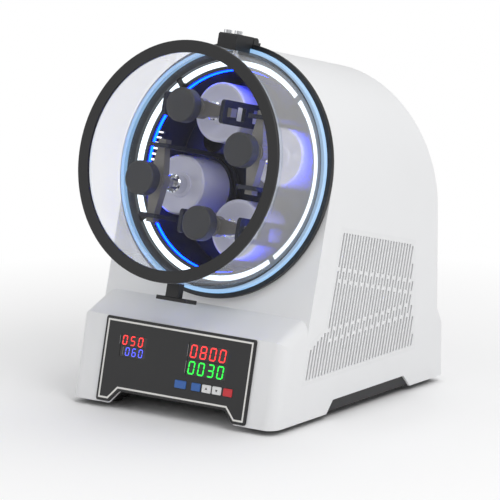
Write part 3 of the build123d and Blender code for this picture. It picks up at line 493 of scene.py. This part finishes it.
class Axis:
    """A leaning axis with a forward direction and an up direction across it."""

    def __init__(self, joint: dict[str, Any]) -> None:
        """Read the axis of a joint.

        Args:
            joint: A joint of the frame, with its position and axis.
        """
        self.origin = np.array(joint["pos_m"], float)
        self.forward = np.array(joint["axis"], float)
        self.forward /= np.linalg.norm(self.forward)
        self.side = np.array((1.0, 0.0, 0.0))
        self.up = np.cross(self.forward, self.side)

    def at(self, side: Points, rise: Points, reach: Points) -> Points:
        """World places of points given across and along the axis.

        Args:
            side: Distances to the right.
            rise: Distances up, across the axis.
            reach: Distances forward along the axis.

        Returns:
            An array whose last dimension is X, Y, Z.
        """
        side, rise, reach = np.broadcast_arrays(side, rise, reach)
        return (
            self.origin
            + side[..., None] * self.side
            + rise[..., None] * self.up
            + reach[..., None] * self.forward
        )


JOINTS = {joint["name"]: joint for joint in frame["joints"]}
HEAD = Axis(JOINTS["head_spin"])


def mesh_piece(name: str, vertices: Points, faces: Sequence[Sequence[int]],
               smooth: bool = True) -> bpy.types.Object:
    """Make an object from arrays.

    Args:
        name: The piece's name.
        vertices: Places in the solids' frame, one row each.
        faces: Vertex numbers of each face, seen from outside.
        smooth: True where the surface is rounded.

    Returns:
        The new object, linked to the scene.
    """
    mesh = bpy.data.meshes.new(name)
    mesh.from_pydata(vertices.reshape(-1, 3).tolist(), [], faces)
    mesh.validate()
    mesh.polygons.foreach_set("use_smooth", [smooth] * len(mesh.polygons))
    piece = bpy.data.objects.new(name, mesh)
    bpy.context.scene.collection.objects.link(piece)
    return piece


def grid_faces(rows: int, columns: int, wrap_rows: bool, wrap_columns: bool) -> list[list[int]]:
    """Faces of a grid whose vertices are numbered row by row.

    Args:
        rows: How many rows of vertices.
        columns: How many vertices in a row.
        wrap_rows: True where the last row joins the first.
        wrap_columns: True where a row's end joins its start.

    Returns:
        Four vertex numbers for each face.
    """
    i = np.arange(rows if wrap_rows else rows - 1)[:, None]
    j = np.arange(columns if wrap_columns else columns - 1)[None, :]
    k, m = (i + 1) % rows, (j + 1) % columns
    quads = np.stack([i * columns + j, i * columns + m, k * columns + m, k * columns + j], axis=-1)
    return quads.reshape(-1, 4).tolist()


def turned(name: str, profile: Sequence[tuple[float, float]], steps: int = 192) -> bpy.types.Object:
    """Turn a closed profile about the head axis.

    The surface is (reach, radius) of the profile by an angle: side = radius cos angle and
    rise = radius sin angle. The profile's end joins its start.

    Args:
        name: The piece's name.
        profile: Reach and radius of each profile point, outside on the left of its run.
        steps: How many steps there are in a full turn.

    Returns:
        The new object.
    """
    reach, radius = np.array(profile, float).T
    angle = np.linspace(0.0, 2 * math.pi, steps, endpoint=False)[:, None]
    places = HEAD.at(radius * np.cos(angle), radius * np.sin(angle), reach)
    return mesh_piece(name, places, grid_faces(steps, len(reach), True, True))


def end_caps(count: int) -> list[list[int]]:
    """The two end faces of a four-sided form with this many rings."""
    last = 4 * (count - 1)
    return [[3, 2, 1, 0], [last + corner for corner in range(4)]]


class Panel:
    """The plane of the control panel, with places given across and up its face."""

    def __init__(self) -> None:
        """Read the plane from the panel's solid and the keys' press direction."""
        self.out = -np.array(JOINTS["key_menu_press"]["axis"], float)
        self.out /= np.linalg.norm(self.out)
        self.side = np.array((1.0, 0.0, 0.0))
        self.up = np.cross(self.out, self.side)
        corners = np.array([v.co for v in frame["nodes"]["control_panel"].data.vertices], float)
        self.face = float((corners @ self.out).max())
        self.foot = float((corners @ self.up).min())

    def at(self, across: Points, up: Points, proud: Union[Points, float]) -> Points:
        """World places of points on the panel.

        Args:
            across: Distances to the right of the middle.
            up: Distances up from the panel's lower edge.
            proud: Distances out of the panel's face.

        Returns:
            An array whose last dimension is X, Y, Z.
        """
        across, up, proud = np.broadcast_arrays(across, up, proud)
        return (
            across[..., None] * self.side
            + (up[..., None] + self.foot) * self.up
            + (proud[..., None] + self.face) * self.out
        )


PANEL = Panel()


def band(name: str, path: Sequence[tuple[float, float]], width: float, low: float, high: float,
         closed: bool) -> bpy.types.Object:
    """A raised line on the panel: a rectangle carried along a path with mitred corners.

    Each path point is moved to both sides along the corner's half-angle direction, by half the
    width over the cosine of half the turn.

    Args:
        name: The piece's name.
        path: Places across and up the panel.
        width: The line's width.
        low: How far its underside stands out of the panel.
        high: How far its top stands out of the panel.
        closed: True where the path's end joins its start.

    Returns:
        The new object.
    """
    points = np.array(path, float)
    ahead = np.roll(points, -1, axis=0) - points
    if not closed:
        ahead[-1] = ahead[-2]
    ahead /= np.linalg.norm(ahead, axis=1, keepdims=True)
    behind = np.roll(ahead, 1, axis=0)
    if not closed:
        behind[0] = ahead[0]
    normal = np.stack([-(ahead + behind)[:, 1], (ahead + behind)[:, 0]], axis=1)
    normal /= np.linalg.norm(normal, axis=1, keepdims=True)
    square = np.stack([-ahead[:, 1], ahead[:, 0]], axis=1)
    offset = normal * (width / 2 / np.sum(normal * square, axis=1, keepdims=True))
    left, right = points + offset, points - offset
    ring = np.stack([
        PANEL.at(left[:, 0], left[:, 1], low),
        PANEL.at(left[:, 0], left[:, 1], high),
        PANEL.at(right[:, 0], right[:, 1], high),
        PANEL.at(right[:, 0], right[:, 1], low),
    ], axis=1)
    faces = grid_faces(len(points), 4, closed, True)
    if not closed:
        faces += end_caps(len(points))
    return mesh_piece(name, ring, faces, smooth=False)


@dataclass
class Display:
    """One group of seven-segment digits."""

    name: str
    digits: str
    centre: tuple[float, float]
    height: float
    pitch: float
    colour: Colour
    slant: float = 0.07
    stroke: float = 0.0016
    half_width_share: float = 0.27
    segment_gap: float = 0.0002
    strength: float = 1.6
    body_share: float = 0.5

    SEGMENTS: ClassVar[dict[str, str]] = {
        "0": "abcdef", "3": "abcdg", "5": "acdfg", "6": "acdefg", "8": "abcdefg",
    }

    def bars(self) -> list[Points]:
        """Outline of each lit segment.

        A bar is a hexagon: its two ends taper to points at the corners of the figure.

        Returns:
            One array of six places across and up for each lit segment.
        """
        half_w, half_h = self.height * self.half_width_share, self.height / 2
        corners = {
            "a": ((-half_w, half_h), (half_w, half_h)),
            "b": ((half_w, half_h), (half_w, 0.0)),
            "c": ((half_w, 0.0), (half_w, -half_h)),
            "d": ((-half_w, -half_h), (half_w, -half_h)),
            "e": ((-half_w, 0.0), (-half_w, -half_h)),
            "f": ((-half_w, half_h), (-half_w, 0.0)),
            "g": ((-half_w, 0.0), (half_w, 0.0)),
        }
        outlines = []
        start = -(len(self.digits) - 1) / 2 * self.pitch
        for place, digit in enumerate(self.digits):
            for key in self.SEGMENTS[digit]:
                a, b = (np.array(corner) for corner in corners[key])
                run = (b - a) / np.linalg.norm(b - a)
                side = np.array((-run[1], run[0])) * self.stroke / 2
                tip = run * self.segment_gap
                neck = tip + run * self.stroke / 2
                shape = np.array([
                    a + tip, a + neck + side, b - neck + side,
                    b - tip, b - neck - side, a + neck - side,
                ])
                shape[:, 0] += shape[:, 1] * self.slant + start + place * self.pitch
                outlines.append(shape + self.centre)
        return outlines

    def build(self) -> None:
        """Make the lit segments as one thin piece.

        Each bar's outline is drawn twice, at the panel's face and one thickness out of it.
        """
        layers: list[Points] = []
        faces: list[list[int]] = []
        for number, shape in enumerate(self.bars()):
            for proud in (0.0, DIGIT_THICKNESS):
                layers.append(PANEL.at(shape[:, 0], shape[:, 1], proud))
            low = [number * 12 + corner for corner in range(6)]
            high = [corner + 6 for corner in low]
            faces += [high[::-1], low]
            faces += [[high[k], high[(k + 1) % 6], low[(k + 1) % 6], low[k]] for k in range(6)]
        piece = mesh_piece(self.name, np.concatenate(layers), faces, smooth=False)
        body = shade(self.colour, self.body_share)
        dress(piece, Lamp(f"{self.name}_light", self.colour, self.strength, body).material())
        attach(piece, "base")


def dress(piece: bpy.types.Object, material: bpy.types.Material) -> None:
    """Give a piece one material."""
    piece.data.materials.clear()
    piece.data.materials.append(material)


def dress_nodes(finish: Union[Finish, Lamp, Acrylic, Split], *names: str) -> None:
    """Give solids one finish.

    Args:
        finish: The finish to build.
        names: The nodes that get it.
    """
    material = finish.material()
    for name in names:
        node = frame["nodes"][name]
        if node.data.materials:
            for place in range(len(node.data.materials)):
                node.data.materials[place] = material
        else:
            node.data.materials.append(material)
    LOG.info("dressed %s in %s", ", ".join(names), finish.name)


def numbered(stem: str) -> list[str]:
    """The names of one piece at each of the four stations."""
    return [f"{stem}_{number}" for number in range(1, 5)]


@dataclass(frozen=True)
class SoftBox:
    """One soft square lamp: its place, the length of its side and its power in watts."""

    name: str
    place: tuple[float, float, float]
    size: float
    power: float


@dataclass
class Studio:
    """Camera, lamps, floor and world."""

    azimuth: float = 36.09
    elevation: float = 12.9
    distance: float = 7.8925
    aim: tuple[float, float, float] = (-0.01278, 0.01592, 0.16669)
    lens: float = 487.1
    sensor: float = 36.0
    far_clip: float = 50.0
    lamp_aim: tuple[float, float, float] = (0.0, 0.0, 0.18)
    floor_size: float = 6.0
    floor_colour: Colour = (0.93, 0.93, 0.935)
    floor_fade: tuple[float, float] = (0.22, 0.75)
    surround: float = 0.46
    boxes: tuple[SoftBox, ...] = (
        SoftBox("key", (1.6, -0.6, 1.7), 1.2, 19.0),
        SoftBox("fill", (-1.6, -1.6, 1.0), 1.6, 6.5),
        SoftBox("top", (0.0, 0.6, 2.2), 1.4, 13.0),
    )

    def directions(self) -> tuple[Vector, Vector, Vector]:
        """Work out the camera's directions from its two angles.

        Returns:
            Right, up and back, as unit vectors.
        """
        a, e = math.radians(self.azimuth), math.radians(self.elevation)
        right = Vector((math.cos(a), math.sin(a), 0.0))
        back = Vector((math.sin(a) * math.cos(e), -math.cos(a) * math.cos(e), math.sin(e)))
        return right, back.cross(right), back

    def camera(self) -> None:
        """Set the camera at the photograph's angle."""
        right, up, back = self.directions()
        data = bpy.data.cameras.new("camera")
        data.sensor_width = self.sensor
        data.lens = self.lens
        data.clip_end = self.far_clip
        camera = bpy.data.objects.new("camera", data)
        turn = Matrix((right, up, back)).transposed().to_4x4()
        camera.matrix_world = Matrix.Translation(Vector(self.aim) + back * self.distance) @ turn
        bpy.context.scene.collection.objects.link(camera)
        bpy.context.scene.camera = camera

    def lamp(self, box: SoftBox) -> None:
        """Hang one lamp that points at the object.

        Args:
            box: The lamp's name, place, size and power.
        """
        data = bpy.data.lights.new(box.name, "AREA")
        data.size, data.energy = box.size, box.power
        lamp = bpy.data.objects.new(box.name, data)
        lamp.location = box.place
        beam = Vector(self.lamp_aim) - Vector(box.place)
        lamp.rotation_euler = beam.to_track_quat("-Z", "Y").to_euler()
        bpy.context.scene.collection.objects.link(lamp)

    def floor(self) -> None:
        """Lay a pale floor that fades to white away from the object."""
        half = self.floor_size / 2
        corners = np.array([(-half, -half, 0), (half, -half, 0), (half, half, 0), (-half, half, 0)], float)
        floor = mesh_piece("floor", corners, [[0, 1, 2, 3]], smooth=False)
        paint = Paint("floor_white")
        matt = paint.node("ShaderNodeBsdfDiffuse", Color=(*self.floor_colour, 1.0))
        white = paint.node("ShaderNodeEmission", Color=(1.0, 1.0, 1.0, 1.0), Strength=1.0)
        far = paint.from_axis((0.0, 0.0, 1.0), (0.0, 0.0, 0.0)).step(*self.floor_fade)
        dress(floor, paint.close(paint.mix(far, matt, white)))

    def world(self) -> None:
        """A white surround that lights the object softly."""
        world = bpy.data.worlds.new("studio")
        bpy.context.scene.world = world
        world.use_nodes = True
        tree = world.node_tree
        tree.nodes.clear()
        white = (1.0, 1.0, 1.0, 1.0)
        soft = add_node(tree, "ShaderNodeBackground", {}, {"Color": white, "Strength": self.surround})
        seen = add_node(tree, "ShaderNodeBackground", {}, {"Color": white})
        path = add_node(tree, "ShaderNodeLightPath", {}, {})
        camera_ray = Wire(tree, path.outputs["Is Camera Ray"])
        both = add_node(tree, "ShaderNodeMixShader", {}, {0: camera_ray, 1: soft, 2: seen})
        add_node(tree, "ShaderNodeOutputWorld", {}, {"Surface": both})

    def build(self) -> None:
        """Set up everything round the object."""
        self.camera()
        self.floor()
        self.world()
        for box in self.boxes:
            self.lamp(box)
        bpy.context.scene.view_settings.view_transform = "Standard"
        LOG.info("studio is ready")


@dataclass
class Body:
    """The white housing with its grilles, rear cover, tray and feet."""

    coat: Finish = Finish("powder_coat", (0.84, 0.845, 0.855), 0.42, grain=700, depth=0.00003,
                          uneven=0.012)
    grille_coat: Finish = Finish("grille_coat", (0.82, 0.825, 0.835), 0.45, grain=700,
                                 depth=0.00003, uneven=0.015)
    tray_coat: Finish = Finish("tray_black", (0.03, 0.03, 0.032), 0.5, grain=500, uneven=0.1)
    sole: Finish = Finish("sole_rubber", (0.02, 0.02, 0.02), 0.75, grain=300, depth=0.0001, uneven=0.1)
    socket: Finish = Finish("socket_black", (0.02, 0.02, 0.022), 0.4)
    # Painted shade: near-black on the inner faces, standing for the shade inside the closed housing
    shade: Finish = Finish("painted_inner_shade", (0.05, 0.05, 0.055), 0.7, grain=300)
    painted_shade_low: tuple[float, float, float] = (-0.1436, -0.03, 0.03)
    painted_shade_high: tuple[float, float, float] = (0.1436, 0.11, 0.22)

    def build(self) -> None:
        """Dress the housing's solids, with painted shade on their inner faces."""
        # Inside this box the housing and grilles take the painted shade, so the slots read dark
        inside = within(self.painted_shade_low, self.painted_shade_high)
        dress_nodes(Split("housing_coat_and_painted_shade", self.coat, self.shade, inside), "housing_shell")
        dress_nodes(self.coat, "rear_cover")
        grille = Split("grille_coat_and_painted_shade", self.grille_coat, self.shade, inside)
        dress_nodes(grille, "vent_grille_left", "vent_grille_right")
        dress_nodes(self.tray_coat, "base_tray")
        dress_nodes(self.sole, "rubber_feet")
        dress_nodes(self.socket, "power_inlet")


@dataclass
class Drive:
    """The frame, motor, belt and gears inside the housing."""

    casting: Finish = Finish("casting", (0.45, 0.46, 0.47), 0.5, 0.8, surface=Surface.BLASTED,
                             grain=400, depth=0.0002)
    can: Finish = Finish("motor_paint", (0.05, 0.055, 0.06), 0.4, grain=500)
    rubber: Finish = Finish("belt_rubber", (0.02, 0.02, 0.02), 0.7, grain=400)
    steel: Finish = Finish("ground_steel", (0.40, 0.40, 0.42), 0.3, 1.0, surface=Surface.TURNED,
                           depth=0.00002)

    def build(self) -> None:
        """Dress the drive's solids."""
        dress_nodes(self.casting, "drive_frame")
        dress_nodes(self.can, "motor")
        dress_nodes(self.rubber, "drive_belt")
        dress_nodes(self.steel, "sun_gear", "motor_pulley", "driven_pulley", "main_shaft", "planet_bearings",
                    *numbered("planet_pinion"))


@dataclass
class Chamber:
    """The round chamber with its bezel and lights."""

    black: Finish = Finish("bezel_black", (0.012, 0.012, 0.013), 0.45, grain=600, depth=0.00003, uneven=0.1)
    lining: Finish = Finish("chamber_lining", (0.02, 0.03, 0.09), 0.35, 0.3, grain=500,
                            uneven=0.15)
    disc: Finish = Finish("disc_dark", (0.03, 0.035, 0.06), 0.35, 0.7, surface=Surface.TURNED, depth=0.00003,
                          uneven=0.15)
    ring_light: Lamp = Lamp("ring_light", (0.80, 0.92, 1.0), 1.7)
    strip_light: Lamp = Lamp("strip_light", (0.0, 0.025, 1.0), 24.0, (0.02, 0.05, 0.3))
    # Painted light: pale glow for the bars behind the chamber wall's slots, which are no lamps
    painted_slot_glow: Lamp = Lamp("painted_slot_glow", (1.0, 1.0, 1.0), 1.6)
    strip_radius: float = 0.1172
    strip_reach: tuple[float, float] = (-0.0125, -0.0085)
    strip_thickness: float = 0.0006
    slot_count: int = 6
    slot_pitch: float = 3.2
    slot_half: float = 1.3
    slot_steps: int = 4
    slot_radius: tuple[float, float] = (0.1208, 0.1214)
    slot_reach: tuple[float, float] = (-0.0285, -0.0105)

    def painted_slot_bar(self, number: int) -> None:
        """Put a glowing pale bar behind one slot in the chamber's left wall: painted light standing for the
        brightness seen through the slot.

        The bar is a rectangle of reach and radius, carried along a short arc about the head axis.

        Args:
            number: The slot's place, counted up from the axis's height.
        """
        middle = 180.0 - self.slot_pitch * number
        first, last = middle - self.slot_half, middle + self.slot_half
        turn = np.radians(np.linspace(first, last, self.slot_steps))[:, None]
        (inner, outer), (back, front) = self.slot_radius, self.slot_reach
        radius = np.array([inner, inner, outer, outer])
        reach = np.array([back, front, front, back])
        places = HEAD.at(radius * np.cos(turn), radius * np.sin(turn), reach)
        faces = grid_faces(len(turn), 4, False, True) + end_caps(len(turn))
        bar = mesh_piece(f"painted_slot_bar_{number}", places, faces, smooth=False)
        dress(bar, self.painted_slot_glow.material())
        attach(bar, "base")

    def build(self) -> None:
        """Dress the chamber and add the blue strip and the pale bars behind the slots, which glow as painted
        light seen through the slots.
        """
        dress_nodes(self.black, "front_bezel", "hinge_base")
        dress_nodes(self.lining, "chamber_tub")
        dress_nodes(self.disc, "carrier_disc")
        dress_nodes(self.ring_light, "light_ring")
        back, front = self.strip_reach
        outer, inner = self.strip_radius + self.strip_thickness, self.strip_radius
        strip = turned("led_strip", [(back, inner), (front, inner), (front, outer), (back, outer)])
        dress(strip, self.strip_light.material())
        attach(strip, "base")
        for number in range(self.slot_count):
            self.painted_slot_bar(number)
        LOG.info("chamber is lit")


@dataclass
class Hood:
    """The clear hood with its front ring, handle and hinge."""

    black: Finish = Finish("hood_black", (0.011, 0.011, 0.012), 0.5, grain=600, depth=0.00003, uneven=0.08)
    bolt: Finish = Finish("bolt_zinc", (0.75, 0.76, 0.78), 0.25, 1.0)
    # The hood's outer wall carries the painted cyan edge glow
    clear: Acrylic = Acrylic("hood_acrylic", (0.997, 0.998, 1.0), 0.0, edge_radius=0.1386)
    rim: Acrylic = Acrylic("ring_rim", (0.93, 0.95, 0.98), 0.01)
    face_reach: float = 0.0955

    def build(self) -> None:
        """Dress the hood's solids."""
        dress_nodes(self.black, "hood_handle", "hinge_arm")
        dress_nodes(Split("hood_ring_faces", self.rim, self.black, ahead_of(self.face_reach)), "hood_ring")
        dress_nodes(self.bolt, "hinge_bolts")
        dress_nodes(self.clear, "hood_shell")


@dataclass
class Stations:
    """The four jar stations."""

    stirrup: Finish = Finish("stirrup_dark", (0.025, 0.028, 0.045), 0.42, 0.5,
                             surface=Surface.BLASTED, grain=600)
    beam: Finish = Finish("beam_alloy", (0.26, 0.25, 0.235), 0.5, 0.5, surface=Surface.BLASTED, grain=600)
    glaze: Finish = Finish("jar_glaze", (0.74, 0.74, 0.86), 0.28, coat=0.3, grain=200,
                           uneven=0.03)
    pad: Finish = Finish("pad_chrome", (0.8, 0.81, 0.83), 0.12, 1.0)
    knob: Finish = Finish("knob_black", (0.035, 0.036, 0.040), 0.5, grain=700, uneven=0.06)
    stud: Finish = Finish("stud_steel", (0.45, 0.45, 0.47), 0.25, 1.0)
    stud_reach: float = 0.0518

    def build(self) -> None:
        """Dress the stations' solids."""
        dress_nodes(self.stirrup, *numbered("jar_stirrup"))
        dress_nodes(self.beam, *numbered("clamp_beam"))
        dress_nodes(self.glaze, *numbered("grinding_jar"), *numbered("jar_lid"))
        dress_nodes(self.pad, *numbered("clamp_pad"))
        screw = Split("screw_faces", self.stud, self.knob, ahead_of(self.stud_reach))
        dress_nodes(screw, *numbered("clamp_screw"))


@dataclass
class Controls:
    """The control panel with its printed lines, digits and keys."""

    black: Finish = Finish("panel_black", (0.014, 0.014, 0.015), 0.4, grain=800, depth=0.00002, uneven=0.06)
    lens: Finish = Finish("display_lens", (0.012, 0.010, 0.011), 0.25, coat=0.2, grain=300, uneven=0.05)
    blue: Finish = Finish("key_blue", (0.035, 0.13, 0.42), 0.4, grain=600)
    white: Finish = Finish("key_white", (0.78, 0.78, 0.78), 0.4, grain=600, uneven=0.02)
    red: Finish = Finish("key_red", (0.62, 0.03, 0.04), 0.4, grain=600)
    line: Finish = Finish("printed_line", (0.80, 0.79, 0.76), 0.5, grain=500, uneven=0.02)
    grey: Finish = Finish("printed_grey", (0.35, 0.35, 0.35), 0.5, grain=500)
    ink: Finish = Finish("printed_ink", (0.02, 0.02, 0.02), 0.5, grain=500)
    arrow_size: float = 0.0019
    divider_gap: float = 0.0018
    divider_width: float = 0.0004
    border_inset: float = 0.0042
    border_width: float = 0.0021
    notch_foot: float = 0.177
    notch_top: float = 0.152
    notch_height: float = 0.0135
    panel_half: float = 0.107
    panel_height: float = 0.0989
    displays: list[Display] = field(default_factory=lambda: [
        Display("digits_upper_small", "050", (-0.0651, 0.0736), 0.0100, 0.0112, (1.0, 0.04, 0.04),
                stroke=0.0013),
        Display("digits_lower_small", "060", (-0.0616, 0.0607), 0.0088, 0.0094, (0.10, 0.12, 0.95),
                stroke=0.0011),
        Display("digits_upper_large", "0800", (0.0429, 0.0742), 0.0138, 0.0137, (1.0, 0.04, 0.04)),
        Display("digits_lower_large", "0030", (0.0426, 0.0551), 0.0138, 0.0137, (0.02, 0.85, 0.06)),
    ])

    def border(self) -> None:
        """Print the pale line that follows the panel's edge."""
        inset = self.border_inset
        slope = (self.notch_foot - self.notch_top) / 2 / self.notch_height
        shift = inset * math.hypot(1, slope) - inset * slope
        half, foot, top = self.panel_half, self.notch_foot / 2, self.notch_top / 2
        path = [
            (-half + inset, inset), (-foot - shift, inset), (-top - shift, self.notch_height + inset),
            (top + shift, self.notch_height + inset), (foot + shift, inset), (half - inset, inset),
            (half - inset, self.panel_height - inset), (-half + inset, self.panel_height - inset),
        ]
        border = band("panel_border", path, self.border_width, PRINT_GAP, BORDER_TOP, True)
        dress(border, self.line.material())
        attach(border, "base")

    def arrow(self, key: str, direction: float) -> None:
        """Print a triangle on a key.

        Args:
            key: The key's node and body.
            direction: 1 for a triangle that points up, -1 for down.
        """
        corners = np.array([v.co for v in frame["nodes"][key].data.vertices], float)
        across, up = corners[:, 0], corners @ PANEL.up - PANEL.foot
        top = float((corners @ PANEL.out).max()) - PANEL.face
        middle_across, middle_up = (across.min() + across.max()) / 2, (up.min() + up.max()) / 2
        size = self.arrow_size
        turn = np.radians(90.0 * direction + np.array([0.0, 120.0, 240.0]))
        outline_across = middle_across + size * np.cos(turn)
        outline_up = middle_up + size * np.sin(turn)
        heights = (top + PRINT_GAP, top + PRINT_TOP)
        layers = [PANEL.at(outline_across, outline_up, height) for height in heights]
        sides = [[k, (k + 1) % 3, 3 + (k + 1) % 3, 3 + k] for k in range(3)]
        faces = [[2, 1, 0], [3, 4, 5], *sides]
        mark = mesh_piece(f"{key}_arrow", np.concatenate(layers), faces, smooth=False)
        dress(mark, self.ink.material())
        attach(mark, key)

    def divider(self, display: Display) -> None:
        """Print a thin upright line at the left of a group of digits.

        Args:
            display: The group of digits.
        """
        across = display.centre[0] - len(display.digits) / 2 * display.pitch - self.divider_gap
        low, high = display.centre[1] - display.height / 2, display.centre[1] + display.height / 2
        path = [(across, low), (across, high)]
        line = band(f"{display.name}_line", path, self.divider_width, PRINT_GAP, PRINT_TOP, False)
        dress(line, self.grey.material())
        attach(line, "base")

    def build(self) -> None:
        """Dress the panel and its keys, and add the lines and digits."""
        dress_nodes(self.black, "control_panel")
        dress_nodes(self.lens, "display_board")
        dress_nodes(self.blue, "key_menu", "key_back")
        dress_nodes(self.white, "key_up", "key_down")
        dress_nodes(self.red, "key_start")
        self.border()
        for display in self.displays:
            display.build()
            self.divider(display)
        self.arrow("key_up", 1.0)
        self.arrow("key_down", -1.0)
        LOG.info("controls are dressed")


def main() -> None:
    """Build the looks and report each step."""
    logging.basicConfig(level=logging.INFO, format="%(name)s: %(message)s")
    for part in (Studio(), Body(), Drive(), Chamber(), Hood(), Stations(), Controls()):
        part.build()


if __name__ == "__main__":
    main()
